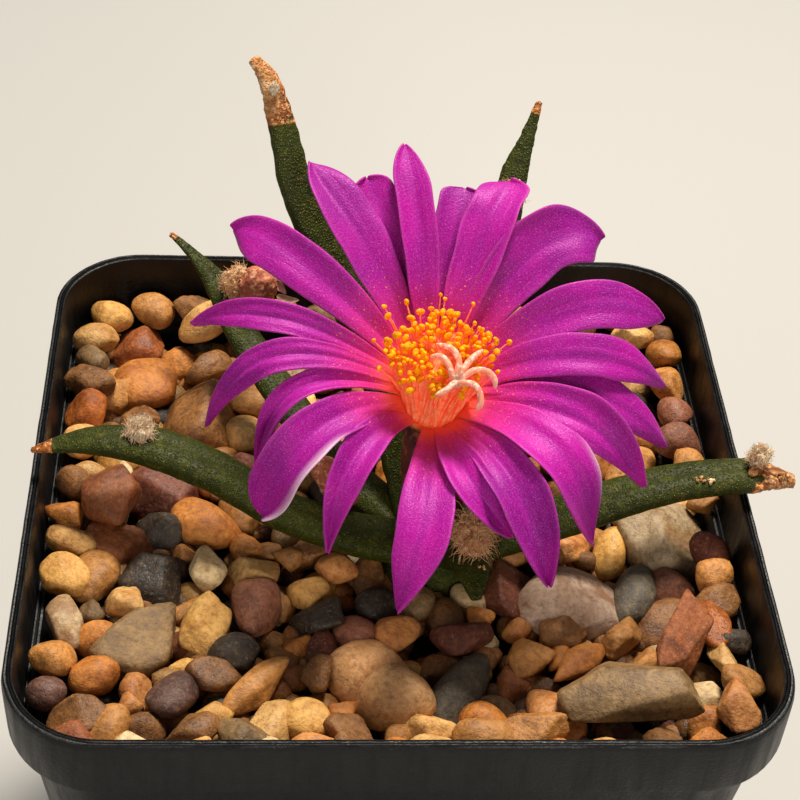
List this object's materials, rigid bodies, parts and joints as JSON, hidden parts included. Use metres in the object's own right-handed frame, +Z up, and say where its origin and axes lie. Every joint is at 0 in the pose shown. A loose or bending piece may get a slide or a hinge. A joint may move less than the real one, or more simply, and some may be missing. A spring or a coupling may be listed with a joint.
{
  "type": "potted cactus",
  "caption": "Living rock cactus with long green tubercles and a large magenta flower, in a square black plastic pot dressed with mixed pebbles.",
  "frame": {"origin": "centre of the pot's underside, on the ground", "axes": "+Z up, +X to the viewer's right, front towards -Y"},
  "size_m": [0.0744, 0.07, 0.0976],
  "materials": {
    "pot_plastic": "satin",
    "compost": "matte",
    "pebble": "satin",
    "green_skin": "matte",
    "wool": "matte",
    "fruit_skin": "satin",
    "petal": "satin",
    "stamen": "matte",
    "stigma": "satin"
  },
  "bodies": {
    "root": {"pot": "pot_plastic", "soil": "compost", "gravel": "pebble", "cactus_body": "green_skin", "wool_left": "wool", "wool_right": "wool", "wool_front": "wool", "wool_back_left": "wool", "wool_back_right": "wool", "wool_crown": "wool", "fruit_left": "fruit_skin", "fruit_front": "fruit_skin", "fruit_back_left": "fruit_skin", "flower": "petal", "stamens": "stamen", "pistil": "stigma"}
  },
  "joints": []
}
